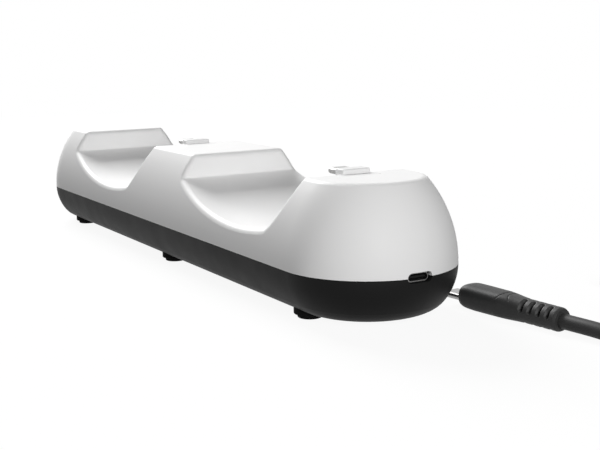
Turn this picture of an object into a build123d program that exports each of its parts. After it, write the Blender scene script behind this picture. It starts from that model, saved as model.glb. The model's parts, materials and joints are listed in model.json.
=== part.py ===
from build123d import *
import math
import os

# A charging dock for two game controllers, in millimetres. X runs along the dock towards
# its power socket, -Y is the front and Z is up. The origin is on the table, midway between
# the two ends, and the feet stand on Z = 0.

# Overall form
width = 68.0
deck_height = 52.2
far_end_deck = 52.8
middle_deck = 47.2
near_end_deck = 42.8
seam_height = 20.0
underside_height = 2.5
upper_wall = 2.0
lower_wall = 2.0
deck_side_inset = 12.0
hull_arc_radius = 22.0
bilge_radius = 11.0
rim_fillet = 2.6

# Controller bays: a vertical face, a long sweeping floor and a hollow wall at the near end
bay_width = 93.6
bay_depth = 21.9
bay_floor_low_from_wall = 36.6
bay_floor_radius = 145.0
bay_near_wall_radius = 32.0
bay_near_wall_lean = 10.0
bay_crease_fillet = 0.8
bay_low_corner_fillet = 4.0
bay_cut_reach = 50.0

# Locating lip between the two shells
lip_clearance = 0.2
lip_thickness = 1.15
lip_height = 2.4
lip_root = 3.0

# Rubber feet
foot_end_inset = 41.0
foot_side_inset = 13.3
foot_tip_radius = 4.7
foot_tip_height = 1.5
foot_flange_radius = 6.1
foot_seat_height = 4.6
foot_clearance = 0.25
foot_pad_wall = 2.0

# Screws that hold the shells together: one at each end and two under each bay
far_screw_inset = 19.0
near_screw_inset = 22.0
bay_screw_from_edge = 45.2
bay_screw_y = 16.0
case_parting_height = 14.0
case_screw_radius = 1.4
case_screw_length = 11.0
case_head_radius = 2.5
case_head_height = 1.6
case_seat_thickness = 2.0
case_well_radius = 3.0
case_tower_radius = 4.4
case_boss_radius = 3.6

# Clearances shared by all screws and boards
thread_clearance = 0.05
screw_clearance = 0.25
fit_clearance = 0.15

# Main circuit board
main_board_length = 112.0
main_board_width = 34.0
main_board_height = 9.0
board_thickness = 1.6
standoff_inset = 5.0
standoff_radius = 2.5
board_screw_radius = 1.1
board_screw_length = 5.0
board_head_radius = 2.2
board_head_height = 1.4

# Parts soldered to the main board: (x, y) of each from the board's centre
controller_size = (7.0, 7.0, 1.2)
controller_places = [(-24.0, 0.0), (26.0, 0.0)]
inductor_size = (8.0, 8.0, 4.0)
inductor_places = [(-36.0, 5.0), (14.0, -6.0)]
capacitor_radius = 3.15
capacitor_height = 7.7
capacitor_places = [(-45.0, -5.0), (-34.0, -9.0), (35.0, -9.0)]
socket_size = (8.0, 5.0, 5.0)
mid_socket_place = (4.0, 8.0)
near_socket_place = (43.0, 8.0)
port_socket_place = (45.0, -6.0)

# Ballast plates
ballast_end_gap = 8.0
ballast_bay_gap = 12.0
ballast_width = 22.0
ballast_thickness = 4.0
ballast_pin_radius = 1.8
ballast_pin_inset = 8.0
stake_head_radius = 2.8
stake_head_height = 0.9

# Power socket at the near end
port_slot_width = 10.4
port_slot_height = 3.9
receptacle_width = 8.94
receptacle_height = 3.16
receptacle_length = 7.3
receptacle_wall = 0.3
receptacle_recess = 1.8
receptacle_tongue_width = 6.7
receptacle_tongue_thickness = 0.7
port_board_back_inset = 17.0
port_board_front_inset = 4.6
port_board_width = 16.0
port_post_inset = 14.4
port_post_y = 6.0
port_post_radius = 1.95
port_screw_radius = 0.8
port_screw_length = 5.4
port_head_radius = 1.6
port_head_height = 1.2

# Charging connectors on the deck, one at the near end of each bay
plug_width = 8.25
plug_height = 2.4
plug_wall = 0.3
plug_axis_rise = 0.1
plug_reach = 7.6
plug_seat = 3.0
plug_mouth_width = 6.6
plug_mouth_height = 0.8
plug_mouth_depth = 5.2
cap_width = 12.0
cap_overhang = 3.5
cap_length = 6.2
cap_rise = 1.9
cap_drop = 2.2
cap_fillet = 0.7
base_width = 14.7
base_length = 8.0
base_front = 0.6
base_depth = 6.0
flange_width = 27.0
flange_thickness = 2.0
flange_back = 3.2
flange_length = 9.2
chamber_width = 9.4
chamber_wall = 1.2
connector_board_width = 27.0
connector_board_back = 1.7
connector_board_length = 14.3
connector_screw_x = 9.5
connector_screw_y = 10.3
connector_boss_radius = 2.8
connector_screw_radius = 1.0
connector_screw_length = 5.0
connector_head_radius = 1.9
connector_head_height = 1.4

# Wiring inside the dock. Each route gives the points between its two ends as shares of the
# way from one to the other in X, Y and Z.
harness_radius = 1.5
harness_bend = 4.0
port_harness_bend = 3.2
harness_plug_size = (7.0, 6.0, 4.0)
port_plug_size = (4.0, 6.0, 4.0)
port_plug_gap = 0.4
connector_plug_drop = 9.0
mid_harness_route = [(0.0, 0.0, 0.37), (0.88, 0.5, 0.82)]
near_harness_route = [(0.0, 0.0, 0.3), (0.5, -0.19, 0.33), (0.74, -0.1, 0.37), (0.9, 0.25, 0.72)]
port_harness_route = [
    (0.0, 0.0, 0.29), (0.26, -0.58, 0.3), (0.62, -0.33, 0.28), (0.86, -0.5, 0.6), (0.98, -0.25, 0.94),
]
port_harness_top = 33.0

# The loose power cable, lying behind the near end
cable_diameter = 5.5
power_plug_nose = (143.7, 37.3)
power_plug_heading = 6.1
power_plug_length = 8.0
power_plug_seat = 3.0
power_grip_sections = [
    (0.0, 10.0, 6.6, 2.6), (5.0, 12.2, 8.0, 3.0), (21.0, 11.6, 8.0, 3.2), (28.0, 9.6, 8.0, 3.6),
]
relief_length = 24.0
relief_end_width = 8.0
relief_slot_count = 4
relief_slot_pitch = 4.4
relief_first_slot = 6.5
relief_slot_width = 2.0
relief_slot_level = 0.9
relief_core_clearance = 0.2
thumb_arc_radii = (6.3, 4.4)
thumb_arc_x = 21.5
thumb_arc_width = 0.3
thumb_arc_depth = 0.3
lead_route = [(0.0, 0.0, 4.0), (10.0, 6.1, 4.0), (13.0, 7.5, 3.2), (11.0, 9.0, 2.75)]
coil_outer_turn = 33.0
coil_turn_pitch = 5.6
coil_layer_rise = 5.55
coil_turns = 4.39
coil_climb = (2.1, 2.5)
coil_skin = 0.3
coil_groove_clearance = 0.45
coil_edge = 2.5
tail_route = [(11.0, 5.0, 8.1), (13.0, 18.0, 6.4), (13.0, 30.0, 4.0), (12.0, 40.0, 4.0)]
usb_a_width = 12.0
usb_a_height = 4.5
usb_a_length = 12.0
usb_a_seat = 5.0
usb_a_wall = 0.3
usb_a_tongue_height = 1.9
usb_a_grip_sections = [
    (0.0, 14.4, 7.2, 1.6), (2.0, 15.2, 8.0, 2.0), (15.0, 15.2, 8.0, 2.0), (19.0, 9.6, 8.0, 3.0),
]
usb_a_relief_length = 12.0

# Values worked out from the driving dimensions
length = far_end_deck + middle_deck + near_end_deck + 2 * bay_width
end_radius = width / 2
side_rise = deck_height - seam_height
side_arc_radius = (side_rise**2 + deck_side_inset**2) / (2 * deck_side_inset)
spine = (length - width) / 2
far_bay_face_x = far_end_deck - length / 2
near_bay_face_x = far_bay_face_x + bay_width + middle_deck
bay_faces = {"mid": far_bay_face_x, "near": near_bay_face_x}
bay_floor_low_x = bay_width - bay_floor_low_from_wall
bay_floor_low_z = deck_height - bay_depth
foot_x = length / 2 - foot_end_inset
foot_y = end_radius - foot_side_inset
far_screw_x = far_screw_inset - length / 2
near_screw_x = length / 2 - near_screw_inset
bay_screw_xs = [face_x + bay_width - bay_screw_from_edge for face_x in bay_faces.values()]
bay_screws = [(x, side * bay_screw_y) for x in bay_screw_xs for side in (-1, 1)]
case_screw_places = [(far_screw_x, 0), (near_screw_x, 0)] + bay_screws
ballast_spans = {
    "far": (far_screw_x + ballast_end_gap, bay_screw_xs[0] - ballast_bay_gap),
    "near": (bay_screw_xs[1] + ballast_bay_gap, near_screw_x - ballast_end_gap),
}
main_board_x = near_bay_face_x - middle_deck / 2
port_board_back_x = length / 2 - port_board_back_inset
port_board_front_x = length / 2 - port_board_front_inset
port_post_x = length / 2 - port_post_inset
plug_axis_height = deck_height + plug_axis_rise
base_bottom_height = deck_height - base_depth
cable_radius = cable_diameter / 2
grip_rest_height = power_grip_sections[1][2] / 2
inner_floor_height = underside_height + lower_wall
port_board_height = seam_height - receptacle_height / 2 - board_thickness


def box_between(x0, x1, y0, y1, z0, z1):
    """A block given by its lowest and highest corners."""
    size = Box(x1 - x0, y1 - y0, z1 - z0)
    return Pos((x0 + x1) / 2, (y0 + y1) / 2, (z0 + z1) / 2) * size


def rod(x, y, radius, z0, z1):
    """An upright cylinder from z0 to z1."""
    return Pos(x, y, (z0 + z1) / 2) * Cylinder(radius, z1 - z0)


def screw(x, y, seat, shank_radius, shank_length, head_radius, head_height, up=True):
    """A pan head screw whose head bears on the height given as its seat."""
    direction = 1 if up else -1
    shank = Pos(x, y, seat + direction * shank_length / 2) * Cylinder(shank_radius, shank_length)
    head = Pos(x, y, seat - direction * head_height / 2) * Cylinder(head_radius, head_height)
    outer_rim = head.faces().sort_by(Axis.Z)[0 if up else -1].edges()
    head = fillet(outer_rim, head_height * 0.4)
    cross = Box(head_radius * 1.1, 0.5, head_height) + Box(0.5, head_radius * 1.1, head_height)
    return shank + head - Pos(x, y, seat - direction * head_height) * cross


def loaf(section):
    """The dock's rounded plan: a half section carried along both sides and round both ends."""
    end = Rot(0, 0, -90) * revolve(Plane.XZ * section, Axis.Z, 180)
    middle = extrude(Plane.YZ * (section + mirror(section, Plane.YZ)), spine, both=True)
    return Pos(spine, 0, 0) * end + Pos(-spine, 0, 0) * Rot(0, 0, 180) * end + middle


def stadium(inset, z0, z1):
    """A straight-sided slab of the dock's plan, set in from its widest outline."""
    plan = SlotOverall(length - 2 * inset, width - 2 * inset)
    return Pos(0, 0, z0) * extrude(plan, z1 - z0)


def upper_section(inset, z0, z1):
    """Half section of the upper shell: one arc from the seam up to the flat deck."""
    radius = side_arc_radius - inset
    start = math.degrees(math.asin((z0 - seam_height) / radius))
    stop = math.degrees(math.asin((z1 - seam_height) / radius))
    wall = CenterArc((end_radius - side_arc_radius, seam_height), radius, start, stop - start)
    return make_face([wall, Polyline(wall @ 1, (0, z1), (0, z0), wall @ 0)])


def lower_section(inset, top):
    """Half section of the lower shell: a gentle arc, then the tight bilge, then the flat base."""
    rise = seam_height - underside_height
    turn = math.asin((rise - bilge_radius) / (hull_arc_radius - bilge_radius))
    hull_centre = (end_radius - hull_arc_radius, seam_height)
    reach = hull_arc_radius - bilge_radius
    bilge_centre = (hull_centre[0] + reach * math.cos(turn), seam_height - reach * math.sin(turn))
    turn = math.degrees(turn)
    hull = CenterArc(hull_centre, hull_arc_radius - inset, 0, -turn)
    bilge = CenterArc(bilge_centre, bilge_radius - inset, -turn, turn - 90)
    above_seam = [] if top == seam_height else [(end_radius - inset, top)]
    rest = Polyline(bilge @ 1, (0, underside_height + inset), (0, top), *above_seam, hull @ 0)
    return make_face([hull, bilge, rest])


def bay_profile(grow):
    """Bay outline in X and Z from the bay's face; grow moves it outward, into the walls."""
    lean = math.radians(bay_near_wall_lean)
    hollow_x = bay_width - bay_near_wall_radius * math.cos(lean)
    hollow_z = deck_height + bay_near_wall_radius * math.sin(lean)
    hollow_radius = bay_near_wall_radius + grow
    right = hollow_x + hollow_radius
    headroom = deck_height
    sweep = Pos(bay_floor_low_x, bay_floor_low_z + bay_floor_radius) * Circle(bay_floor_radius + grow)
    below = Pos((right - grow) / 2, hollow_z / 2) * Rectangle(right + grow, hollow_z)
    hollow = below & (Pos(hollow_x, hollow_z) * Circle(hollow_radius))
    left = Pos((hollow_x - grow) / 2, hollow_z / 2) * Rectangle(hollow_x + grow, hollow_z)
    above = Pos((right - grow) / 2, hollow_z + headroom / 2) * Rectangle(right + grow, headroom)
    area = (left + hollow + above) & sweep
    low = area.vertices().sort_by(Axis.Y)[0]
    area = fillet([low], bay_low_corner_fillet + grow)
    crease = area.vertices().filter_by(lambda v: v.X < bay_floor_low_x).sort_by(Axis.Y)[0]
    return fillet([crease], bay_crease_fillet + grow)


def bay_cutter(face_x, grow=0.0):
    """The bay's outline drawn right across the dock."""
    return Pos(face_x, 0, 0) * extrude(Plane.XZ * bay_profile(grow), bay_cut_reach, both=True)


def rim_edges(body):
    """Every edge of the deck and of the bays' open sides, which all share one rounding."""
    deck = body.faces().filter_by(lambda f: abs(f.center().Z - deck_height) < 0.01)
    edges = []
    for face in deck:
        edges += face.edges()
    for face_x in bay_faces.values():
        low, high = face_x - 0.1, face_x + bay_width + 0.1
        for edge in body.edges():
            box = edge.bounding_box()
            on_side = abs(edge.center().Y) > end_radius / 2
            if on_side and box.min.X > low and box.max.X < high and box.min.Z > seam_height + 1:
                edges.append(edge)
    single = []
    for edge in edges:
        if not any(edge.is_same(other) for other in single):
            single.append(edge)
    return single


def port_slot(width_mm, height_mm, x0, x1):
    """A round-ended bar along X, on the axis of the power socket."""
    bar = extrude(Plane.YZ * SlotOverall(width_mm, height_mm), x1 - x0)
    return Pos(x0, 0, seam_height) * bar


def connector_notch(face_x):
    """Opening in the deck and the top of the bay's near wall that takes a connector base."""
    edge = face_x + bay_width
    half = base_width / 2 + fit_clearance
    back = edge - base_front + base_length + fit_clearance
    return box_between(edge - 5, back, -half, half, base_bottom_height - 0.2, deck_height + 5)


def connector_screw_places(face_x):
    x = face_x + bay_width + connector_screw_x
    return [(x, -connector_screw_y), (x, connector_screw_y)]


def make_upper_shell():
    body = loaf(upper_section(0, seam_height, deck_height))
    for face_x in bay_faces.values():
        body -= bay_cutter(face_x)
    body = fillet(rim_edges(body), rim_fillet)
    hollow = loaf(upper_section(upper_wall, seam_height, deck_height - upper_wall))
    for face_x in bay_faces.values():
        hollow -= bay_cutter(face_x, upper_wall)
    shell = body - hollow
    boss_top = deck_height - upper_wall / 2
    for x, y in case_screw_places:
        boss = rod(x, y, case_boss_radius, seam_height, boss_top) & body
        shell += boss + rod(x, y, case_boss_radius, case_parting_height, seam_height)
    for face_x in bay_faces.values():
        for x, y in connector_screw_places(face_x):
            shell += rod(x, y, connector_boss_radius, base_bottom_height, boss_top)
            pilot_top = base_bottom_height + connector_screw_length - board_thickness + 0.4
            pilot = connector_screw_radius + thread_clearance
            shell -= rod(x, y, pilot, base_bottom_height, pilot_top)
        shell -= connector_notch(face_x)
    pilot = case_screw_radius + thread_clearance
    for x, y in case_screw_places:
        shell -= rod(x, y, pilot, case_parting_height, case_parting_height + case_screw_length)
    return shell - port_slot(port_slot_width, port_slot_height, port_board_back_x, length)


def foot_places():
    return [(x, y) for x in (-foot_x, 0, foot_x) for y in (-foot_y, foot_y)]


def make_lower_shell():
    outer = loaf(lower_section(0, seam_height))
    shell = outer - loaf(lower_section(lower_wall, seam_height + 1))
    root_bottom = seam_height - lip_root
    lip_outer = lower_wall + lip_clearance
    lip_inner = lip_outer + lip_thickness
    root = stadium(lower_wall / 2, root_bottom, seam_height) & outer
    lip = root + stadium(lip_outer, seam_height, seam_height + lip_height)
    shell += lip - stadium(lip_inner, root_bottom, seam_height + lip_height)
    recess = foot_flange_radius + foot_clearance
    for x, y in foot_places():
        pad_top = foot_seat_height + foot_pad_wall
        shell += rod(x, y, recess + foot_pad_wall, underside_height, pad_top) & outer
        shell -= rod(x, y, recess, 0, foot_seat_height)
    for x, y in case_screw_places:
        shell += rod(x, y, case_tower_radius, underside_height, case_parting_height)
        shell -= rod(x, y, case_well_radius, 0, case_parting_height - case_seat_thickness)
        shell -= rod(x, y, case_screw_radius + screw_clearance, 0, case_parting_height)
    pilot = board_screw_radius + thread_clearance
    for x, y in standoff_places():
        shell += rod(x, y, standoff_radius, underside_height + 1, main_board_height)
        shell -= rod(x, y, pilot, inner_floor_height + 0.5, main_board_height)
    pilot = port_screw_radius + thread_clearance
    for y in (-port_post_y, port_post_y):
        shell += rod(port_post_x, y, port_post_radius, underside_height + 1, port_board_height)
        shell -= rod(port_post_x, y, pilot, port_board_height - port_screw_length, port_board_height)
    for span in ballast_spans.values():
        for x in ballast_pin_places(span):
            top = inner_floor_height + ballast_thickness
            shell += rod(x, 0, ballast_pin_radius, underside_height + 1, top)
            shell += rod(x, 0, stake_head_radius, top, top + stake_head_height)
    return shell - port_slot(port_slot_width, port_slot_height, port_board_back_x + 8, length)


def make_rubber_feet():
    feet = []
    for x, y in foot_places():
        flange = rod(x, y, foot_flange_radius, foot_tip_height, foot_seat_height)
        tip = rod(x, y, foot_tip_radius, 0, foot_tip_height)
        flange = fillet(flange.faces().sort_by(Axis.Z)[0].edges(), 0.4)
        tip = fillet(tip.faces().sort_by(Axis.Z)[0].edges(), 0.5)
        feet.append((flange + tip).solid())
    return Compound(feet)


def make_case_screws():
    seat = case_parting_height - case_seat_thickness
    screws = []
    for x, y in case_screw_places:
        one = screw(x, y, seat, case_screw_radius, case_screw_length, case_head_radius, case_head_height)
        screws.append(one.solid())
    return Compound(screws)


def standoff_places():
    half_x = main_board_length / 2 - standoff_inset
    half_y = main_board_width / 2 - standoff_inset
    return [(main_board_x + sx * half_x, sy * half_y) for sx in (-1, 1) for sy in (-1, 1)]


def make_main_board():
    x0 = main_board_x - main_board_length / 2
    half = main_board_width / 2
    top = main_board_height + board_thickness
    board = box_between(x0, x0 + main_board_length, -half, half, main_board_height, top)
    board = fillet(board.edges().filter_by(Axis.Z), 2)
    for x, y in standoff_places():
        board -= rod(x, y, board_screw_radius + screw_clearance, main_board_height, top)
    return board


def make_board_screws():
    seat = main_board_height + board_thickness
    screws = []
    for x, y in standoff_places():
        one = screw(
            x, y, seat, board_screw_radius, board_screw_length,
            board_head_radius, board_head_height, up=False,
        )
        screws.append(one.solid())
    return Compound(screws)


def on_main_board(places, size, corner):
    """Rectangular components standing on the main board."""
    top = main_board_height + board_thickness
    parts = []
    for x, y in places:
        block = Pos(main_board_x + x, y, top + size[2] / 2) * Box(*size)
        parts.append(fillet(block.edges().filter_by(Axis.Z), corner).solid())
    return Compound(parts)


def make_capacitors():
    bottom = main_board_height + board_thickness
    parts = []
    for x, y in capacitor_places:
        can = rod(main_board_x + x, y, capacitor_radius, bottom, bottom + capacitor_height)
        parts.append(fillet(can.faces().sort_by(Axis.Z)[-1].edges(), 0.5).solid())
    return Compound(parts)


def ballast_pin_places(span):
    return [span[0] + ballast_pin_inset, span[1] - ballast_pin_inset]


def make_ballast(span):
    half = ballast_width / 2
    top = inner_floor_height + ballast_thickness
    plate = box_between(span[0], span[1], -half, half, inner_floor_height, top)
    plate = chamfer(plate.edges().filter_by(Axis.Z), 2)
    for x in ballast_pin_places(span):
        plate -= rod(x, 0, ballast_pin_radius + screw_clearance, inner_floor_height, top)
    return plate


def make_receptacle_shell():
    front = length / 2 - receptacle_recess
    outer = port_slot(receptacle_width, receptacle_height, front - receptacle_length, front)
    inner_width = receptacle_width - 2 * receptacle_wall
    inner_height = receptacle_height - 2 * receptacle_wall
    back = front - receptacle_length + receptacle_wall
    return outer - port_slot(inner_width, inner_height, back, front)


def make_receptacle_tongue():
    front = length / 2 - receptacle_recess
    back = front - receptacle_length + receptacle_wall
    base_reach = 1.6
    gap = receptacle_wall + 0.05
    base = port_slot(receptacle_width - 2 * gap, receptacle_height - 2 * gap, back, back + base_reach)
    half = receptacle_tongue_width / 2
    bottom = seam_height - receptacle_tongue_thickness / 2
    top = seam_height + receptacle_tongue_thickness / 2
    return base + box_between(back + base_reach, front - 0.8, -half, half, bottom, top)


def make_port_board():
    half = port_board_width / 2
    top = port_board_height + board_thickness
    board = box_between(port_board_back_x, port_board_front_x, -half, half, port_board_height, top)
    for y in (-port_post_y, port_post_y):
        board -= rod(port_post_x, y, port_screw_radius + screw_clearance, port_board_height, top)
    return board


def make_port_screws():
    seat = port_board_height + board_thickness
    screws = []
    for y in (-port_post_y, port_post_y):
        one = screw(
            port_post_x, y, seat, port_screw_radius, port_screw_length,
            port_head_radius, port_head_height, up=False,
        )
        screws.append(one.solid())
    return Compound(screws)


def plug_bar(face_x, width_mm, height_mm, x0, x1):
    """A round-ended bar on the axis of a charging plug, from x0 to x1 off the bay's near edge."""
    bar = extrude(Plane.YZ * SlotOverall(width_mm, height_mm), x1 - x0)
    return Pos(face_x + bay_width + x0, 0, plug_axis_height) * bar


def make_connector_base(face_x):
    """Moulded base of a charging plug: the cap seen on the deck, its inset base and its flange."""
    edge = face_x + bay_width
    half_cap = cap_width / 2
    cap_bottom = deck_height - cap_drop
    cap_top = deck_height + cap_rise
    cap_x0 = edge - cap_overhang
    cap = box_between(cap_x0, cap_x0 + cap_length, -half_cap, half_cap, cap_bottom, cap_top)
    cap = fillet(cap.edges().filter_by(Axis.Z) + cap.faces().sort_by(Axis.Z)[-1].edges(), cap_fillet)
    half_base = base_width / 2
    base_x0 = edge - base_front
    base_x1 = base_x0 + base_length
    base = box_between(base_x0, base_x1, -half_base, half_base, base_bottom_height, deck_height)
    half_flange = flange_width / 2
    flange_top = deck_height - upper_wall
    flange_bottom = flange_top - flange_thickness
    flange_x0 = edge + flange_back
    flange_x1 = flange_x0 + flange_length
    flange = box_between(flange_x0, flange_x1, -half_flange, half_flange, flange_bottom, flange_top)
    for x, y in connector_screw_places(face_x):
        flange -= rod(x, y, connector_boss_radius + screw_clearance, 0, deck_height)
    half_chamber = chamber_width / 2
    loft_top = plug_axis_height + plug_height / 2 + 0.1
    loft_bottom = plug_axis_height - plug_height / 2 - 0.1
    chamber_x0 = cap_x0 + chamber_wall
    chamber_x1 = cap_x0 + cap_length - chamber_wall / 2
    loft_room = box_between(chamber_x0, chamber_x1, -half_chamber, half_chamber, loft_bottom, loft_top)
    well_x0 = base_x0 + chamber_wall
    well_x1 = well_x0 + 4.6
    well = box_between(well_x0, well_x1, -half_chamber, half_chamber, 0, deck_height - 1)
    slot_width = plug_width + 2 * thread_clearance
    slot_height = plug_height + 2 * thread_clearance
    slot = plug_bar(face_x, slot_width, slot_height, -cap_overhang - 1, -1)
    return cap + base + flange - loft_room - well - slot


def make_plug_shell(face_x):
    """Drawn metal shell of a charging plug, open at its tip."""
    x0 = -cap_overhang - plug_reach
    x1 = -cap_overhang + plug_seat
    outer = plug_bar(face_x, plug_width, plug_height, x0, x1)
    inner = plug_bar(face_x, plug_width - 2 * plug_wall, plug_height - 2 * plug_wall, x0, x1)
    return outer - inner


def make_contact_carrier(face_x):
    """Black insulator that fills the plug and steps down to its circuit board."""
    edge = face_x + bay_width
    tip = -cap_overhang - plug_reach + 0.4
    back = -cap_overhang + plug_seat + fit_clearance
    gap = plug_wall + thread_clearance
    core = plug_bar(face_x, plug_width - 2 * gap, plug_height - 2 * gap, tip, back)
    core -= plug_bar(face_x, plug_mouth_width, plug_mouth_height, tip, tip + plug_mouth_depth)
    half = chamber_width / 2 - fit_clearance
    block_bottom = plug_axis_height - plug_height / 2
    block_top = plug_axis_height + plug_height / 2
    block_x1 = edge - cap_overhang + cap_length - chamber_wall / 2 - fit_clearance
    block = box_between(edge + back, block_x1, -half, half, block_bottom, block_top)
    leg_x0 = edge - base_front + chamber_wall + fit_clearance
    return core + block + box_between(leg_x0, block_x1, -half, half, base_bottom_height, block_top)


def make_connector_board(face_x):
    edge = face_x + bay_width
    half = connector_board_width / 2
    x0 = edge + connector_board_back
    bottom = base_bottom_height - board_thickness
    board = box_between(x0, x0 + connector_board_length, -half, half, bottom, base_bottom_height)
    for x, y in connector_screw_places(face_x):
        board -= rod(x, y, connector_screw_radius + screw_clearance, bottom, base_bottom_height)
    return board


def make_connector_screws():
    seat = base_bottom_height - board_thickness
    screws = []
    for face_x in bay_faces.values():
        for x, y in connector_screw_places(face_x):
            one = screw(
                x, y, seat, connector_screw_radius, connector_screw_length,
                connector_head_radius, connector_head_height,
            )
            screws.append(one.solid())
    return Compound(screws)


def tube(points, radius, bends):
    """A round tube along straight runs joined by tangent arcs."""
    path = FilletPolyline(*points, radius=bends)
    start = Plane(origin=path @ 0, z_dir=path % 0)
    return sweep(start * Circle(radius), path=path)


def harness(place, shares, turn, plug_z, plug_size, bend):
    """Wires from a socket on the main board, by way of a last turn, to a plug above or below it."""
    top = main_board_height + board_thickness + socket_size[2]
    start = (main_board_x + place[0], place[1], top)
    between = [tuple(a + (b - a) * s for a, b, s in zip(start, turn, share)) for share in shares]
    plug = (turn[0], turn[1], plug_z)
    return tube([start, *between, turn, plug], harness_radius, bend) + Pos(*plug) * Box(*plug_size)


def deck_harness(place, face_x, shares):
    """Wires from a socket on the main board up to the underside of a connector board."""
    top = base_bottom_height - board_thickness
    turn = (face_x + bay_width + connector_screw_x, 0, top - connector_plug_drop)
    plug_z = top - harness_plug_size[2] / 2
    return harness(place, shares, turn, plug_z, harness_plug_size, harness_bend)


def port_harness():
    """Wires from the main board along the dock and down onto the power socket's board."""
    turn = (port_board_back_x + port_plug_size[0] / 2 + port_plug_gap, 0, port_harness_top)
    plug_z = port_board_height + board_thickness + port_plug_size[2] / 2
    return harness(port_socket_place, port_harness_route, turn, plug_z, port_plug_size, port_harness_bend)


def along(start, heading, distance):
    """The point a distance from a start, at a heading in degrees from +X."""
    angle = math.radians(heading)
    return (start[0] + distance * math.cos(angle), start[1] + distance * math.sin(angle))


def follow(start, route, heading=0.0):
    """Points of a route given as run length, heading and height of each point."""
    points = [(start[0], start[1], route[0][2])]
    for run, turn, height in route[1:]:
        points.append((*along(points[-1], heading + turn, run), height))
    return points


def route_radii(points):
    """For each corner, 0.45 of its shorter run divided by the tangent of half its turn."""
    radii = []
    for before, corner, after in zip(points, points[1:], points[2:]):
        run_in = Vector(*corner) - Vector(*before)
        run_out = Vector(*after) - Vector(*corner)
        half_turn = math.radians(run_in.get_angle(run_out) / 2)
        radii.append(0.45 * min(run_in.length, run_out.length) / math.tan(half_turn))
    return radii


def grip_end(sections, relief):
    """Distance from a plug's nose to the end of its strain relief."""
    return sections[-1][0] + relief


def lead_points():
    """The cable from its strain relief down to the table and up to the coil."""
    reach = grip_end(power_grip_sections, relief_length)
    return follow(along(power_plug_nose, power_plug_heading, reach), lead_route)


def coil_frame():
    """Centre of the coil and the angle at which the cable joins its outer turn."""
    joint = lead_points()[-1]
    heading = lead_route[-1][1]
    centre = along(joint, heading + 90, coil_outer_turn)
    return centre, heading - 90


def coil_radius_at(turn):
    """Distance of the cable from the coil's centre, winding in and then out again."""
    inner = coil_outer_turn - coil_turn_pitch * coil_climb[0]
    if turn < coil_climb[0]:
        return coil_outer_turn - coil_turn_pitch * turn
    if turn < coil_climb[1]:
        return inner
    return inner + coil_turn_pitch * (turn - coil_climb[1])


def tail_points():
    """The cable from the top of the coil down to the plug at its far end."""
    centre, start = coil_frame()
    angle = start + 360 * coil_turns
    begin = along(centre, angle, coil_radius_at(coil_turns))
    return follow(begin, [(0, 0, cable_radius + coil_layer_rise)] + tail_route, angle + 90)


def place_power_plug():
    return Pos(*power_plug_nose, grip_rest_height) * Rot(0, 0, power_plug_heading)


def place_usb_a_plug():
    """The far plug lies in line with the last run of the tail."""
    before, end = tail_points()[-2:]
    heading = math.degrees(math.atan2(end[1] - before[1], end[0] - before[0]))
    nose = along(end, heading, grip_end(usb_a_grip_sections, usb_a_relief_length))
    return Pos(*nose, grip_rest_height) * Rot(0, 0, heading + 180)


def rounded_section(x, wide, high, corner):
    """A rounded rectangle across a plug's axis; corner is held just under half its height."""
    outline = RectangleRounded(wide, high, min(corner, high / 2 - 0.02))
    return Pos(x, 0, 0) * (Plane.YZ * outline)


def make_grip(sections, relief):
    """A moulded plug grip that narrows to a slotted strain relief."""
    start = sections[-1][0]
    end = start + relief
    rows = sections + [(end, relief_end_width, relief_end_width, relief_end_width / 2)]
    grip = loft([rounded_section(*row) for row in rows], ruled=True)
    grip = fillet(grip.faces().sort_by(Axis.X)[-1].edges(), 0.6)
    core = Rot(0, 90, 0) * Cylinder(cable_radius + relief_core_clearance, 3 * end)
    across = 2 * relief_end_width
    for index in range(relief_slot_count):
        middle = start + relief_first_slot + index * relief_slot_pitch
        if middle > end - relief_slot_width:
            break
        for side in (-1, 1):
            level = side * (relief_slot_level + across / 2)
            slot = Pos(middle, 0, level) * Box(relief_slot_width, across, across)
            grip -= slot - core
    return grip


def flat_bar(wide, high, x0, x1):
    """A rectangular bar along a plug's axis."""
    return box_between(x0, x1, -wide / 2, wide / 2, -high / 2, high / 2)


def round_bar(wide, high, x0, x1):
    """A round-ended bar along a plug's axis."""
    return Pos(x0, 0, 0) * extrude(Plane.YZ * SlotOverall(wide, high), x1 - x0)


def make_power_grip():
    grip = make_grip(power_grip_sections, relief_length)
    top = power_grip_sections[1][2] / 2
    for radius in thumb_arc_radii:
        ring = Cylinder(radius + thumb_arc_width / 2, 2 * thumb_arc_depth)
        ring -= Cylinder(radius - thumb_arc_width / 2, 2 * thumb_arc_depth)
        ring &= Pos(radius, 0, 0) * Box(2 * radius, 4 * radius, 1)
        grip -= Pos(thumb_arc_x, 0, top) * ring
    pocket = round_bar(plug_width, plug_height, 0, power_plug_seat)
    return place_power_plug() * (grip - pocket)


def make_power_plug_shell():
    outer = round_bar(plug_width, plug_height, -power_plug_length, power_plug_seat)
    wall = 2 * plug_wall
    return place_power_plug() * (
        outer - round_bar(plug_width - wall, plug_height - wall, -power_plug_length, power_plug_seat)
    )


def make_power_plug_insert():
    gap = 2 * (plug_wall + thread_clearance)
    tip = 0.4 - power_plug_length
    core = round_bar(plug_width - gap, plug_height - gap, tip, power_plug_seat)
    mouth = round_bar(plug_mouth_width, plug_mouth_height, tip, tip + plug_mouth_depth)
    return place_power_plug() * (core - mouth)


def make_cord():
    return tube(lead_points(), cable_radius, route_radii(lead_points()))


def make_tail():
    return tube(tail_points(), cable_radius, route_radii(tail_points()))


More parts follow.
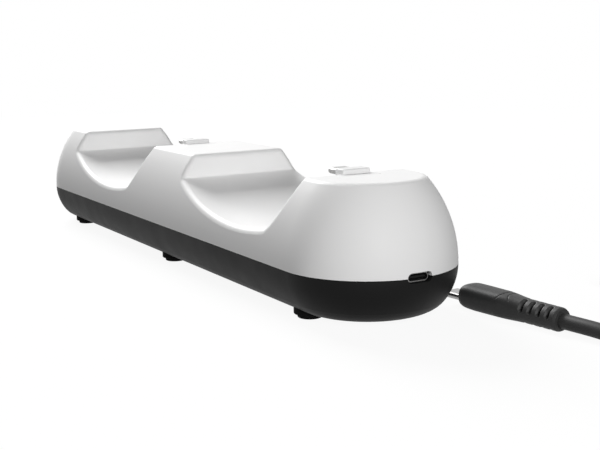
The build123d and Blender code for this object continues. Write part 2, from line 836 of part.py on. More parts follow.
def make_coil():
    """The wound cable as one ring, with a groove for each end that runs off it."""
    centre, _ = coil_frame()
    inner = coil_radius_at(coil_climb[1]) - cable_radius - coil_skin
    outer = coil_outer_turn + cable_radius + coil_skin
    top = cable_diameter + coil_layer_rise + coil_skin
    section = Pos((inner + outer) / 2, top / 2) * RectangleRounded(outer - inner, top, coil_edge)
    ring = Pos(*centre, 0) * revolve(Plane.XZ * section, Axis.Z, 360)
    groove = cable_radius + coil_groove_clearance
    lead = list(reversed(lead_points()))
    ring -= tube(lead, groove, route_radii(lead))
    return ring - tube(tail_points(), groove, route_radii(tail_points()))


def make_usb_a_shell():
    x0, x1 = -usb_a_length, usb_a_seat
    inner = 2 * usb_a_wall
    shell = flat_bar(usb_a_width, usb_a_height, x0, x1)
    shell -= flat_bar(usb_a_width - inner, usb_a_height - inner, x0, x1)
    for y in (-3.1, 3.1):
        shell -= Pos(x0 + 6.2, y, usb_a_height / 2) * Box(2.2, 2.4, 2 * usb_a_wall)
        shell -= Pos(x0 + 6.2, y, -usb_a_height / 2) * Box(2.2, 2.4, 2 * usb_a_wall)
    return place_usb_a_plug() * shell


def make_usb_a_insert():
    gap = 2 * (usb_a_wall + thread_clearance)
    half = (usb_a_width - gap) / 2
    bottom = (gap - usb_a_height) / 2
    root = flat_bar(2 * half, -2 * bottom, -1, usb_a_seat)
    tongue = box_between(0.6 - usb_a_length, -1, -half, half, bottom, bottom + usb_a_tongue_height)
    return place_usb_a_plug() * (root + tongue)


def make_usb_a_grip():
    grip = make_grip(usb_a_grip_sections, usb_a_relief_length)
    return place_usb_a_plug() * (grip - flat_bar(usb_a_width, usb_a_height, 0, usb_a_seat))


def report_cord(name, piece, points):
    """Print the tube's bend radii and its volume beside its section times its length."""
    radii = route_radii(points)
    path = FilletPolyline(*points, radius=radii)
    section = math.pi * cable_radius**2
    print(name, "radii", [round(r, 1) for r in radii], "length", round(path.length, 1))
    print(name, "volume", round(piece.volume, 1), "section x length", round(section * path.length, 1))


socket_places = [mid_socket_place, near_socket_place, port_socket_place]

nodes = {
    "upper_shell": make_upper_shell(),
    "lower_shell": make_lower_shell(),
    "rubber_feet": make_rubber_feet(),
    "case_screws": make_case_screws(),
    "main_board": make_main_board(),
    "board_screws": make_board_screws(),
    "charge_controllers": on_main_board(controller_places, controller_size, 0.3),
    "inductors": on_main_board(inductor_places, inductor_size, 1.2),
    "capacitors": make_capacitors(),
    "board_sockets": on_main_board(socket_places, socket_size, 0.3),
    "far_ballast_plate": make_ballast(ballast_spans["far"]),
    "near_ballast_plate": make_ballast(ballast_spans["near"]),
    "receptacle_shell": make_receptacle_shell(),
    "receptacle_tongue": make_receptacle_tongue(),
    "port_board": make_port_board(),
    "port_board_screws": make_port_screws(),
    "port_harness": port_harness(),
    "mid_harness": deck_harness(mid_socket_place, bay_faces["mid"], mid_harness_route),
    "near_harness": deck_harness(near_socket_place, bay_faces["near"], near_harness_route),
    "connector_screws": make_connector_screws(),
    "power_plug_shell": make_power_plug_shell(),
    "power_plug_insert": make_power_plug_insert(),
    "power_plug_grip": make_power_grip(),
    "power_cord": make_cord(),
    "power_cord_coil": make_coil(),
    "power_cord_tail": make_tail(),
    "usb_a_shell": make_usb_a_shell(),
    "usb_a_insert": make_usb_a_insert(),
    "usb_a_grip": make_usb_a_grip(),
}
for bay, bay_face_x in bay_faces.items():
    nodes[bay + "_connector_base"] = make_connector_base(bay_face_x)
    nodes[bay + "_plug_shell"] = make_plug_shell(bay_face_x)
    nodes[bay + "_contact_carrier"] = make_contact_carrier(bay_face_x)
    nodes[bay + "_connector_board"] = make_connector_board(bay_face_x)

report_cord("power_cord", nodes["power_cord"], lead_points())
report_cord("power_cord_tail", nodes["power_cord_tail"], tail_points())

os.makedirs("parts", exist_ok=True)
for name, shape in nodes.items():
    export_step(shape, "parts/" + name + ".step")
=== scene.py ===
# %% [markdown]
# # A charging dock for two game controllers
# The solids of the dock come from the CAD model and stay exactly where they are. This notebook
# gives them their finish, sets up the camera and the light, and builds the few pieces that a
# solid model leaves plain: the soft cable and the moulded grips of its two plugs. X runs along the
# dock, the front is at -Y and Z points up. The scene is in metres. The cable and the grips are
# worked out in millimetres and turned into metres at the end.

import json
import math

import bpy
import numpy as np
from mathutils import Matrix, Vector


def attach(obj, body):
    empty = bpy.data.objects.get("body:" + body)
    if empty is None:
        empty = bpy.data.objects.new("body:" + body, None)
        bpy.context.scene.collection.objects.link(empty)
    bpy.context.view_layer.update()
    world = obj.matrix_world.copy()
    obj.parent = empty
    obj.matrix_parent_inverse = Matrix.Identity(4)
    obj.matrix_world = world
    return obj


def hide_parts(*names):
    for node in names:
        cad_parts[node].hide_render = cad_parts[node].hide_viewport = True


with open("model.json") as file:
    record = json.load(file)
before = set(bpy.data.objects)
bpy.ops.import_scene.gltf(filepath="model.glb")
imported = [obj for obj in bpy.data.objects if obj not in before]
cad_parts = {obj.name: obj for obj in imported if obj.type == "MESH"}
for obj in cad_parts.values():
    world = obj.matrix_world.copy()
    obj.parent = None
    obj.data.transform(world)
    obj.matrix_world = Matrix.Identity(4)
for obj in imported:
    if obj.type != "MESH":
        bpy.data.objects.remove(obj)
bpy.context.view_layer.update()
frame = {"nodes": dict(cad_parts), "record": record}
nodes = frame["nodes"]

# %% [markdown]
# ## Camera
# The dock is seen from low down and a little past its near end. The position and the lens were
# worked out from straight edges of known length: the seam, the deck and the feet. A Track To
# constraint could aim the camera, but it can't give it a slight roll. Three unit vectors can, and
# they become the columns of its matrix.

# %% Camera
camera_place = Vector((0.46042, -0.21843, 0.10406))
camera_yaw = math.radians(60.03)
camera_pitch = math.radians(10.074)
camera_roll = math.radians(-0.832)
camera_lens_mm = 64.74

ahead = Vector((
    -math.sin(camera_yaw) * math.cos(camera_pitch),
    math.cos(camera_yaw) * math.cos(camera_pitch),
    -math.sin(camera_pitch),
))
level_right = Vector((math.cos(camera_yaw), math.sin(camera_yaw), 0))
level_up = level_right.cross(ahead)
right = level_right * math.cos(camera_roll) + level_up * math.sin(camera_roll)
up = level_up * math.cos(camera_roll) - level_right * math.sin(camera_roll)

camera_data = bpy.data.cameras.new("camera")
camera_data.sensor_width = 36
camera_data.lens = camera_lens_mm
camera_data.clip_start = 0.01
camera = bpy.data.objects.new("camera", camera_data)
camera_turn = Matrix((right, up, -ahead)).transposed()
camera.matrix_world = Matrix.Translation(camera_place) @ camera_turn.to_4x4()
bpy.context.scene.collection.objects.link(camera)
bpy.context.scene.camera = camera
print("camera looks along", tuple(round(c, 3) for c in ahead))

# %% [markdown]
# ## Cable
# The loose power cable lies on the table behind the near end. It leaves the strain relief of its
# plug, drops to the table and runs out of the view, where the rest of it is wound for storage. It
# could be a tube of faces, but a curve with a round bevel is easier to steer and stays smooth, so
# it is one NURBS spline. A few listed points steer its two ends. The turns of the coil
# between them are worked out from an angle, with the radius shrinking on the way in and growing on
# the way out.

# %% Cable route, in millimetres and degrees
MM = 0.001
cable_radius = 2.75
power_nose = Vector((143.7, 37.3, 0.0)) * MM
power_heading_deg = 6.1
relief_end_at = 46.0
relief_axis_height = 4.0
lead_starts_at = 52.0

# Each row is a run, its heading and the height at its end. The tail's headings start from the
# coil's last one.
lead_route = [(0.0, 0.0, 4.0), (10.0, 6.1, 4.0), (13.0, 7.5, 3.2), (11.0, 9.0, 2.75)]
tail_route = [(11.0, 5.0, 8.1), (13.0, 18.0, 6.4), (13.0, 30.0, 4.0), (12.0, 40.0, 4.0)]
coil_outer_radius = 33.0
coil_turn_pitch = 5.6
coil_layer_rise = 5.55
coil_turns = 4.39
climb_from_turn = 2.1
climb_to_turn = 2.5
points_per_turn = 16


def along(start, heading_deg, distance):
    """The point on the table at a distance from a start, at a heading from +X."""
    angle = math.radians(heading_deg)
    x = start[0] + distance * math.cos(angle)
    y = start[1] + distance * math.sin(angle)
    return Vector((x, y, 0))


def follow(start, rows, heading_deg=0.0):
    """Points of a route. The first row gives only a height, and each other row adds its run, at
    its own heading from the one that is given."""
    points = [Vector((start[0], start[1], rows[0][2]))]
    for run, turn, height in rows[1:]:
        point = along(points[-1], heading_deg + turn, run)
        point.z = height
        points.append(point)
    return points


def smooth_step(value, low, high):
    """0 below low, 1 above high and t^2 (3 - 2t) between, which starts and ends level."""
    t = np.clip((value - low) / (high - low), 0, 1)
    return t * t * (3 - 2 * t)


def coil_points(centre, start_deg):
    """Turns of the coil. The radius falls by a pitch each turn, rests while the cable climbs to
    the upper layer on a smooth step, and then grows by a pitch each turn."""
    turn = np.linspace(0, coil_turns, int(coil_turns * points_per_turn) + 1)
    inner_radius = coil_outer_radius - coil_turn_pitch * climb_from_turn
    radius = np.maximum(coil_outer_radius - coil_turn_pitch * turn, inner_radius)
    radius = radius + coil_turn_pitch * np.clip(turn - climb_to_turn, 0, None)
    height = cable_radius + coil_layer_rise * smooth_step(turn, climb_from_turn, climb_to_turn)
    angle = np.radians(start_deg + 360 * turn)
    x = centre.x + radius * np.cos(angle)
    y = centre.y + radius * np.sin(angle)
    return np.stack([x, y, height], axis=1)


lead_start = along(power_nose / MM, power_heading_deg, lead_starts_at)
relief_end = along(power_nose / MM, power_heading_deg, relief_end_at)
relief_end.z = relief_axis_height
lead = [relief_end] + follow(lead_start, lead_route)

lead_heading_deg = lead_route[-1][1]
coil_centre = along(lead[-1], lead_heading_deg + 90, coil_outer_radius)
coil_start_deg = lead_heading_deg - 90
coil = coil_points(coil_centre, coil_start_deg)

tail_heading_deg = coil_start_deg + 360 * coil_turns + 90
tail = follow(coil[-1], [(0.0, 0.0, cable_radius + coil_layer_rise)] + tail_route, tail_heading_deg)
route = np.vstack([lead[:-1], coil, tail[1:]]) * MM
print("cable route has", len(route), "points; coil centre at", tuple(round(c, 1) for c in coil_centre))

# %% Cable
cord_curve = bpy.data.curves.new("power_cable", "CURVE")
cord_curve.dimensions = "3D"
cord_curve.bevel_depth = cable_radius * MM
cord_curve.bevel_resolution = 6
cord_curve.use_fill_caps = True
spline = cord_curve.splines.new("NURBS")
spline.points.add(len(route) - 1)
spline.points.foreach_set("co", np.c_[route, np.ones(len(route))].astype(np.float32).ravel())
spline.order_u = 3
spline.use_endpoint_u = True
spline.resolution_u = 4
power_cable = bpy.data.objects.new("power_cable", cord_curve)
bpy.context.scene.collection.objects.link(power_cable)
print("cable is", round(spline.calc_length(), 3), "m long")

# %% [markdown]
# ## Writing materials as sums
# A material is a small graph of nodes. Wiring it by hand is slow to read, so a `Wire` holds one
# socket and takes part in Python sums: `0.36 + 0.1 * cloud` adds two Math nodes and returns the
# result. Any other node comes from `add_node`, with a type, its settings and what goes into its
# sockets. A `Finish` is one material.

# %% Sockets that can be summed
def connect(tree, socket, value):
    """Link a Wire into a socket, or set the socket to a plain value."""
    if isinstance(value, Wire):
        tree.links.new(value.socket, socket)
    else:
        socket.default_value = value


def add_node(tree, kind, settings=None, output=0, numbered=None, **named):
    """Any node: its settings are set first, then its sockets are linked or filled, by number
    where two of them share a name and otherwise by name."""
    made = tree.nodes.new(kind)
    for setting, value in (settings or {}).items():
        setattr(made, setting, value)
    for number, value in (numbered or {}).items():
        connect(tree, made.inputs[number], value)
    for name, value in named.items():
        connect(tree, made.inputs[name.replace("_", " ")], value)
    return Wire(tree, made.outputs[output])


class Wire:
    """One output socket of a material. Sums with numbers or other wires add Math nodes."""

    def __init__(self, tree, socket):
        self.tree = tree
        self.socket = socket

    def math(self, operation, other):
        settings = {"operation": operation}
        return add_node(self.tree, "ShaderNodeMath", settings, numbered={0: self, 1: other})

    def __add__(self, other):
        return self.math("ADD", other)

    __radd__ = __add__

    def __mul__(self, other):
        return self.math("MULTIPLY", other)

    __rmul__ = __mul__

    def __lt__(self, other):
        return self.math("LESS_THAN", other)


print("sockets can be added, multiplied and compared")


# %% A finish
class Finish:
    """A material with one Principled shader, measured in the object's own coordinates."""

    def __init__(self, name, **constants):
        self.material = bpy.data.materials.new(name)
        self.material.use_nodes = True
        self.tree = self.material.node_tree
        self.shader = self.tree.nodes["Principled BSDF"]
        for socket, value in constants.items():
            self.set(socket.replace("_", " "), value)
        self.place = self.node("ShaderNodeTexCoord", output="Object")

    def set(self, socket, value):
        connect(self.tree, self.shader.inputs[socket], value)

    def node(self, kind, settings=None, output=0, numbered=None, **named):
        return add_node(self.tree, kind, settings, output, numbered, **named)

    def noise(self, per_metre, detail=2.0, roughness=0.5, at=None):
        """Cloudy values about 0.5, with so many clouds to the metre."""
        return self.node(
            "ShaderNodeTexNoise",
            Vector=at or self.place,
            Scale=per_metre,
            Detail=detail,
            Roughness=roughness,
        )

    def stretched(self, x, y, z):
        """The object's coordinates with each axis scaled, for grain that runs one way."""
        return self.node("ShaderNodeMapping", Vector=self.place, Scale=(x, y, z))

    def mix(self, factor, colour_a, colour_b):
        """A blend of two colours, which a Mix node takes at its sockets 6 and 7."""
        sockets = {0: factor, 6: colour_a, 7: colour_b}
        return self.node("ShaderNodeMix", {"data_type": "RGBA"}, output=2, numbered=sockets)

    def bump(self, height, strength, distance):
        """Relief from a height that varies between 0 and 1. The distance is its full depth."""
        relief = self.node("ShaderNodeBump", Height=height, Strength=strength, Distance=distance)
        self.set("Normal", relief)


def grey(level, warmth=0.0):
    """A near-grey colour with an alpha, warmer or cooler by a little."""
    return (level * (1 + warmth), level, level * (1 - warmth), 1.0)


print("a finish can be written as sums")

# %% [markdown]
# ## Moulded shells
# The upper shell is a smooth white moulding with a satin skin. A perfectly even white looks like
# paper, so its colour and roughness drift by a few percent, and a very low relief breaks up the
# reflections as moulded plastic does. The lower shell is spark-eroded black: a fine, even grain
# that scatters the light and hides fingerprints. Pictures could give both skins, but noise on the
# object's own coordinates needs no unwrapping and has no seam.

# %% Shell materials
def moulded_white(name, level):
    finish = Finish(name, Specular_IOR_Level=0.05)
    drift = finish.noise(14, detail=3)
    duller, brighter = grey(level * 0.985, warmth=0.002), grey(level * 1.01, warmth=0.002)
    finish.set("Base Color", finish.mix(drift, duller, brighter))
    finish.set("Roughness", 0.36 + 0.1 * finish.noise(60, detail=4))
    orange_peel = finish.noise(900, detail=2) + 0.5 * finish.noise(160, detail=1)
    finish.bump(orange_peel, strength=0.05, distance=0.00012)
    return finish.material


def eroded_black(name, level):
    finish = Finish(name, Specular_IOR_Level=0.1)
    grain = finish.noise(2600, detail=3, roughness=0.7)
    finish.set("Base Color", finish.mix(grain, grey(level * 0.8), grey(level * 1.25)))
    finish.set("Roughness", 0.46 + 0.16 * finish.noise(90, detail=3))
    finish.bump(grain, strength=0.3, distance=0.00008)
    return finish.material


white_shell = moulded_white("white_shell", level=0.86)
white_insert = moulded_white("white_insert", level=0.80)
black_shell = eroded_black("black_shell", level=0.006)
print("shell materials:", white_shell.name, white_insert.name, black_shell.name)

# %% [markdown]
# ## Rubber, cable and grip
# The feet are soft rubber with a dusty bloom. The cable has an extruded jacket, so its faint
# relief is made of soft ripples. Its grip is moulded over the jacket in a harder charcoal plastic
# that takes a broad highlight. The wiring and the black parts on the boards are close to these.
# One function makes them all, because only their tone, grain and shine differ.

# %% Soft materials
def soft_black(name, level, rough, grain, relief, shine=0.25):
    finish = Finish(name, Specular_IOR_Level=shine)
    bloom = finish.noise(220, detail=4)
    finish.set("Base Color", finish.mix(bloom, grey(level * 0.85), grey(level * 1.2)))
    finish.set("Roughness", rough + 0.12 * finish.noise(400, detail=2))
    finish.bump(finish.noise(grain, detail=3), strength=0.25, distance=relief)
    return finish.material


black_rubber = soft_black("black_rubber", 0.008, rough=0.7, grain=1800, relief=0.00008, shine=0.05)
cable_jacket = soft_black("cable_jacket", 0.029, rough=0.46, grain=700, relief=0.00006, shine=0.18)
cable_grip = soft_black("cable_grip", 0.030, rough=0.46, grain=1500, relief=0.00005, shine=0.2)
harness_jacket = soft_black("harness_jacket", 0.028, rough=0.5, grain=900, relief=0.00006)
contact_plastic = soft_black("contact_plastic", 0.010, rough=0.5, grain=1500, relief=0.00003, shine=0.1)
black_component = soft_black("black_component", 0.026, rough=0.55, grain=2200, relief=0.00004)
print("soft materials:", black_rubber.name, cable_jacket.name, cable_grip.name)

# %% [markdown]
# ## Metals
# The connector shells are drawn from thin steel and nickel plated, and the cans of the capacitors
# are drawn aluminium, both with faint lines that all run one way. The ballast and the screws are
# zinc plated, which leaves a mottled, slightly blue skin. An anisotropic shader could draw the
# lines, but noise that is stretched along one axis also gives them relief. A pattern of cells has
# the shape of the spangle on zinc.

# %% Metal materials
def drawn_metal(name, level, rough, axis_scale):
    finish = Finish(name, Metallic=1.0)
    lines = finish.noise(1.0, detail=3, at=finish.stretched(*axis_scale))
    duller, brighter = grey(level * 0.92, warmth=0.01), grey(level * 1.06, warmth=0.01)
    finish.set("Base Color", finish.mix(lines, duller, brighter))
    finish.set("Roughness", rough + 0.12 * lines)
    finish.bump(lines, strength=0.12, distance=0.00003)
    return finish.material


def zinc_plate(name, level, rough):
    finish = Finish(name, Metallic=1.0)
    cells = finish.node(
        "ShaderNodeTexVoronoi", {"feature": "F1"}, output="Color", Vector=finish.place, Scale=420.0
    )
    spangle = finish.node("ShaderNodeSeparateColor", Color=cells)
    duller, brighter = grey(level * 0.85, warmth=-0.02), grey(level * 1.1)
    finish.set("Base Color", finish.mix(spangle, duller, brighter))
    finish.set("Roughness", rough + 0.16 * spangle)
    finish.bump(finish.noise(500, detail=2), strength=0.15, distance=0.00004)
    return finish.material


connector_metal = drawn_metal("connector_metal", 0.34, rough=0.28, axis_scale=(90, 4200, 4200))
capacitor_can = drawn_metal("capacitor_can", 0.68, rough=0.3, axis_scale=(2600, 2600, 200))
zinc_screw = zinc_plate("zinc_screw", 0.56, rough=0.3)
ballast_steel = zinc_plate("ballast_steel", 0.42, rough=0.38)
print("metals:", connector_metal.name, zinc_screw.name, ballast_steel.name)

# %% [markdown]
# ## Circuit boards
# A board is woven glass under a green solder mask, with copper tracks that show through as paler
# lines. The joints of a brick pattern stand in for them, because they turn at right angles, and a
# dot in each cell of a second pattern is a via of bare copper. Tracks could be modelled one by one,
# but the shells hide the boards, so a pattern is enough. The sockets on them are cream nylon.

# %% Board materials
mask_green = (0.018, 0.12, 0.05, 1)
track_green = (0.045, 0.22, 0.09, 1)
bare_copper = (0.55, 0.42, 0.2, 1)
dark_nylon = (0.62, 0.57, 0.45, 1)
pale_nylon = (0.7, 0.65, 0.52, 1)
via_radius = 0.16


def solder_mask(name):
    finish = Finish(name, Coat_Weight=0.5, Coat_Roughness=0.15)
    tracks = finish.node(
        "ShaderNodeTexBrick",
        {"offset": 0.5, "squash": 1.0},
        output="Fac",
        Vector=finish.place,
        Scale=60.0,
        Mortar_Size=0.06,
        Brick_Width=0.5,
        Row_Height=0.16,
    )
    off_centre = finish.node("ShaderNodeTexVoronoi", output="Distance", Vector=finish.place, Scale=260.0)
    masked = finish.mix(tracks, mask_green, track_green)
    finish.set("Base Color", finish.mix(off_centre < via_radius, masked, bare_copper))
    finish.set("Roughness", 0.35 + 0.1 * finish.noise(300, detail=2))
    finish.bump(tracks, strength=0.2, distance=0.00004)
    return finish.material


def nylon(name):
    finish = Finish(name, Specular_IOR_Level=0.4)
    drift = finish.noise(180, detail=3)
    finish.set("Base Color", finish.mix(drift, dark_nylon, pale_nylon))
    finish.set("Roughness", 0.42 + 0.1 * drift)
    finish.bump(finish.noise(1200, detail=2), strength=0.1, distance=0.00004)
    return finish.material


green_board = solder_mask("green_board")
cream_socket = nylon("cream_socket")
print("board materials:", green_board.name, cream_socket.name)

# %% [markdown]
# ## Dressing the solids
# The record says which finish each solid has, so a loop can do this and no solid is forgotten.
# Every solid keeps its mesh, and only its material slot is filled.

# %% Give each solid its finish
finishes = {
    "white_shell": white_shell,
    "white_insert": white_insert,
    "black_shell": black_shell,
    "black_rubber": black_rubber,
    "zinc_screw": zinc_screw,
    "ballast_steel": ballast_steel,
    "connector_metal": connector_metal,
    "contact_plastic": contact_plastic,
    "green_board": green_board,
    "black_component": black_component,
    "capacitor_can": capacitor_can,
    "cream_socket": cream_socket,
    "harness_jacket": harness_jacket,
    "cable_grip": cable_grip,
    "cable_jacket": cable_jacket,
}
for part in frame["record"]["subparts"]:
    solid = nodes[part["node"]]
    solid.data.materials.clear()
    solid.data.materials.append(finishes[part["material_slot"]])

# %% [markdown]
# ## Surfaces from arrays
# The new pieces are grids of points worked out with numpy. One helper turns a grid into a mesh:
# each row is a ring round the piece, the rings follow one another along it, and a flat cap closes
# each end. A piece could be extruded by hand instead, but a grid keeps one formula for every point.

# %% Mesh helpers
def ringed_mesh(name, rings, finish):
    """A closed mesh from rings of points, shaped (rows, columns, 3). Each ring joins the next, and
    the first and last rings are capped."""
    rows, columns, _ = rings.shape
    column = np.arange(columns)
    after = (column + 1) % columns
    here = np.arange(rows - 1)[:, None] * columns
    there = here + columns
    corners = [here + column, here + after, there + after, there + column]
    quads = np.stack(corners, axis=-1).reshape(-1, 4)
    caps = [column[::-1].tolist(), ((rows - 1) * columns + column).tolist()]
    mesh = bpy.data.meshes.new(name)
    mesh.from_pydata(rings.reshape(-1, 3), [], quads.tolist() + caps)
    mesh.polygons.foreach_set("use_smooth", np.arange(len(quads) + len(caps)) < len(quads))
    mesh.materials.append(finish)
    mesh.update()
    piece = bpy.data.objects.new(name, mesh)
    bpy.context.scene.collection.objects.link(piece)
    print(name, "has", len(quads), "faces")
    return piece


def placed(points, origin, heading):
    """Points of a plug, with X along it from its nose, moved to its place on the table:
    x cos h - y sin h and x sin h + y cos h, added to the origin."""
    c, s = math.cos(heading), math.sin(heading)
    x, y, z = points[..., 0], points[..., 1], points[..., 2]
    return np.stack([x * c - y * s, x * s + y * c, z], axis=-1) + np.array(origin)


print("meshes can be made from rings")

# %% [markdown]
# ## Plug grips
# A grip is a superellipse carried along the plug: nearly a rounded rectangle where fingers hold it,
# and nearly a circle at the strain relief. Slots let the relief bend, and inside them the surface
# drops to a thin core. Two fine arcs are moulded into the top. Boolean cuts could make the slots,
# but a formula keeps their rims soft and the faces even.

# %% Slots of a strain relief, in millimetres
relief_radius = 4.0
slot_bands = ((0.4, 5.3), (-8.0, -3.7))
slot_end_radius = 0.9
slot_floor_half_width = 0.85
slot_rim_half_width = 1.1
core_radius = 1.7


def inside_slots(x, turn, slots):
    """1 inside a slot, 0 outside and a smooth rise between. A slot is a bar with round ends,
    wrapped round the relief: one on each side of the top, and one below."""
    round_it = relief_radius * np.arctan2(np.sin(turn), np.abs(np.cos(turn)))
    inside = np.zeros(np.broadcast(x, turn).shape)
    for slot_x in slots:
        for bottom, top in slot_bands:
            past = np.abs(round_it - (bottom + top) / 2) - (top - bottom) / 2 + slot_end_radius
            off_line = np.hypot(np.maximum(past, 0), x - slot_x)
            rise = smooth_step(off_line, slot_floor_half_width, slot_rim_half_width)
            inside = np.maximum(inside, 1 - rise)
    return inside


print("slots are", 2 * slot_rim_half_width, "mm wide, round a core of", 2 * core_radius, "mm")

# %% Grip surface, in millimetres
ring_points = 160
ring_gap = 0.2
nose_length, nose_rings = 1.6, 13
rim_length, rim_rings = 1.0, 9
rounding_length = 10.0
smoothing_steps, smoothing_reach = 500, 5

groove_depth = 0.3
groove_width = 0.17
groove_fade = 0.8


def softened(values):
    """A running mean with bell-shaped weights, which rounds the corners of a piecewise line."""
    weights = np.hanning(2 * smoothing_reach + 3)[1:-1]
    padded = np.pad(values, smoothing_reach, mode="edge")
    return np.convolve(padded, weights / weights.sum(), mode="valid")


def grip_surface(sections, exponent, round_from, slots, arcs=()):
    """Rings of a grip that lies on the table. Its width, underside and top follow the sections
    (distance, width, low, high). Each ring is a superellipse about its own middle,
    |y/a|^n + |z/b|^n = 1, and n falls to 2 where the grip becomes a round strain relief."""
    rows = np.array(sections)
    end = rows[-1, 0]
    x = np.unique(np.r_[
        np.linspace(0, nose_length, nose_rings),
        np.arange(nose_length + ring_gap, end - rim_length, ring_gap),
        np.linspace(end - rim_length, end, rim_rings),
    ])
    even = np.linspace(0, end, smoothing_steps)
    wide, low, high = [
        np.interp(x, even, softened(np.interp(even, rows[:, 0], rows[:, k])))[:, None]
        for k in (1, 2, 3)
    ]
    x = x[:, None]
    middle = (low + high) / 2
    power = exponent + (2 - exponent) * smooth_step(x, round_from, round_from + rounding_length)
    turn = np.linspace(0, 2 * np.pi, ring_points, endpoint=False)[None, :]
    cosine, sine = np.cos(turn), np.sin(turn)
    across, upright = np.abs(2 * cosine / wide), np.abs(2 * sine / (high - low))
    reach = (across**power + upright**power) ** (-1 / power)
    reach = reach + (np.minimum(core_radius, reach) - reach) * inside_slots(x, turn, slots)

    # An arc is a fine groove over the top. Its line leaves its apex by over^2 / 2r, where over is
    # the way over the surface from the middle of the top, and it fades out at its width.
    over = np.abs(reach * cosine) + (high - middle) - reach * sine
    for apex, radius, width in arcs:
        line_x = apex - over**2 / (2 * radius)
        line = np.exp(-(((x - line_x) / groove_width) ** 2))
        reach = reach - groove_depth * line * (1 - smooth_step(over, width, width + groove_fade))
    return np.stack(np.broadcast_arrays(x, reach * cosine, middle + reach * sine), axis=-1) * MM


print("a ring has", ring_points, "points, and rings are", ring_gap, "mm apart")

# %% Power plug grip
power_sections = [
    (0.0, 7.4, 2.4, 7.4), (0.5, 9.4, 1.5, 8.5), (1.4, 11.0, 0.9, 9.2), (3.0, 12.0, 0.4, 9.6),
    (4.5, 12.2, 0.2, 9.7), (8.0, 12.2, 0.0, 9.7), (20.0, 11.8, 0.0, 9.5), (21.5, 11.5, 0.0, 9.4),
    (27.0, 10.0, 0.0, 9.1), (32.0, 9.2, 0.0, 8.9), (46.2, 9.0, 0.0, 8.7), (47.0, 8.0, 0.5, 8.2),
]
power_rings = grip_surface(
    power_sections,
    exponent=2.8,
    round_from=22.0,
    slots=(31.3, 35.3, 39.3, 43.3),
    arcs=[(21.2, 20.0, 8.0), (23.4, -8.0, 5.5)],
)
power_grip = ringed_mesh(
    "power_plug_moulding",
    placed(power_rings, power_nose, math.radians(power_heading_deg)),
    cable_grip,
)
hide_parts("power_plug_grip")

# %% [markdown]
# ## Far plug
# The plug at the other end of the cable is wider and flatter, with squarer corners. The same
# formula makes its grip from other sections and a higher exponent. A grip's X runs from its nose
# towards the cable, so this one is placed at the heading of the cable's last run, turned by half a
# turn.

# %% Far plug
far_sections = [
    (0.0, 13.6, 0.7, 7.3), (0.6, 14.7, 0.2, 7.8), (2.0, 15.2, 0.0, 8.0), (15.0, 15.2, 0.0, 8.0),
    (19.0, 9.6, 0.0, 8.0), (22.0, 8.2, 0.0, 8.0), (30.4, 8.0, 0.0, 8.0), (31.0, 7.2, 0.4, 7.6),
]
far_grip_length = far_sections[-1][0]
far_heading_deg = tail_heading_deg + tail_route[-1][1]
far_nose = along(tail[-1], far_heading_deg, far_grip_length) * MM
far_rings = grip_surface(far_sections, exponent=6.0, round_from=12.0, slots=(23.5, 27.3))
far_grip = ringed_mesh(
    "usb_a_moulding",
    placed(far_rings, far_nose, math.radians(far_heading_deg + 180)),
    cable_grip,
)
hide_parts("usb_a_grip")

# %% [markdown]
# ## The cable in the frame
# The cable is soft. It takes the jacket finish, the plain solids that it stands for are hidden,
# and the cable and both plug grips ride on the root body.

# %% Cable on its body
cord_curve.materials.append(cable_jacket)
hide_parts("power_cord", "power_cord_coil", "power_cord_tail")
for piece in (power_grip, far_grip, power_cable):
    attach(piece, "root")
print("cable starts at", tuple(round(c, 4) for c in route[0]))

# %% [markdown]
# ## Floor, background and light
# The dock stands on a white sheet that seems to have no end. To the eye the sheet glows an even
# white, with a little of its lit surface mixed in near the dock, so that it keeps a soft shadow at
# the feet. To the light the sheet is dark, so that it doesn't brighten the dock from below. A
# picture of a studio could light the dock, but lamps are easier to steer. A broad one shines from
# beyond the far end and a smaller one from past the near end. The sky adds very little, so the
# front stays in shade.

# %% Floor
floor_edge = 6.0
paper_in_light = 0.08
paper_in_view = 0.95
glow_near = 0.91

floor_mesh = bpy.data.meshes.new("floor")
floor_corners = [
    (-floor_edge, -floor_edge, 0), (floor_edge, -floor_edge, 0),
    (floor_edge, floor_edge, 0), (-floor_edge, floor_edge, 0),
]
floor_mesh.from_pydata(floor_corners, [], [(0, 1, 2, 3)])
floor = bpy.data.objects.new("floor", floor_mesh)
bpy.context.scene.collection.objects.link(floor)


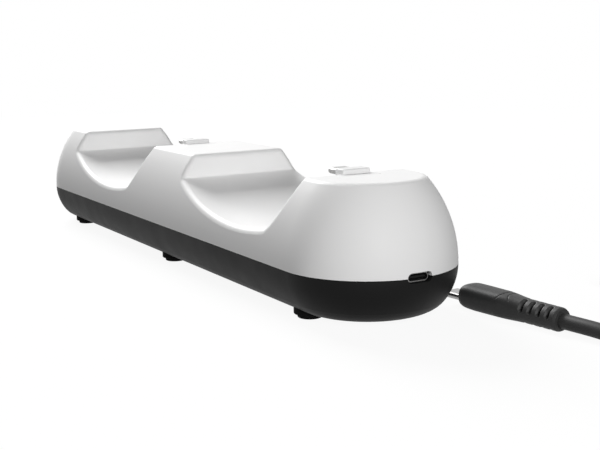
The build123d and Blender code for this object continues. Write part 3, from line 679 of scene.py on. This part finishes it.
def seen_rays(tree):
    """1 where the camera, a reflection or a view through glass meets the surface, 0 for light."""
    rays = tree.nodes.new("ShaderNodeLightPath")
    camera_ray, mirrored, through = [
        Wire(tree, rays.outputs[name])
        for name in ("Is Camera Ray", "Is Glossy Ray", "Is Transmission Ray")
    ]
    return camera_ray + mirrored + through


paper = Finish("paper", Roughness=0.9, Specular_IOR_Level=0.1)
seen = seen_rays(paper.tree)
tone = paper_in_light + (paper_in_view - paper_in_light) * seen
paper.set("Base Color", paper.node("ShaderNodeCombineColor", Red=tone, Green=tone, Blue=tone))
distance = paper.node(
    "ShaderNodeVectorMath", {"operation": "LENGTH"}, output="Value", Vector=paper.place
)
glow_share = glow_near + (1 - glow_near) * distance.math("MINIMUM", 1.0)
lit_sheet = Wire(paper.tree, paper.shader.outputs[0])
glow = paper.node("ShaderNodeEmission")
blend = paper.node("ShaderNodeMixShader", numbered={0: seen * glow_share, 1: lit_sheet, 2: glow})
connect(paper.tree, paper.tree.nodes["Material Output"].inputs["Surface"], blend)
floor_mesh.materials.append(paper.material)
print("the floor is", 2 * floor_edge, "m square")

# %% World
sky_light = 0.02
world = bpy.data.worlds.new("sky")
bpy.context.scene.world = world
world.use_nodes = True
sky = world.node_tree
background = sky.nodes["Background"]
background.inputs["Color"].default_value = (1, 1, 1, 1)
connect(sky, background.inputs["Strength"], sky_light + (1 - sky_light) * seen_rays(sky))
print("the sky lights at", sky_light, "and shows as white")

# %% Lamps
dock_middle = (0.02, 0, 0.03)


def area_lamp(name, place, size, watts):
    """A rectangular lamp that faces the middle of the dock."""
    data = bpy.data.lights.new(name, "AREA")
    data.shape = "RECTANGLE"
    data.size, data.size_y = size
    data.energy = watts
    lamp = bpy.data.objects.new(name, data)
    lamp.location = place
    lamp.rotation_euler = (Vector(dock_middle) - Vector(place)).to_track_quat("-Z", "Y").to_euler()
    bpy.context.scene.collection.objects.link(lamp)
    print(name, "at", place, watts, "W")


area_lamp("far_lamp", place=(-2.95, 0, 2.07), size=(1.6, 1.4), watts=198)
area_lamp("end_lamp", place=(1.45, -0.42, 0.5), size=(0.4, 0.7), watts=17)

# %% View
bpy.context.scene.view_settings.view_transform = "Standard"
print("view transform:", bpy.context.scene.view_settings.view_transform)
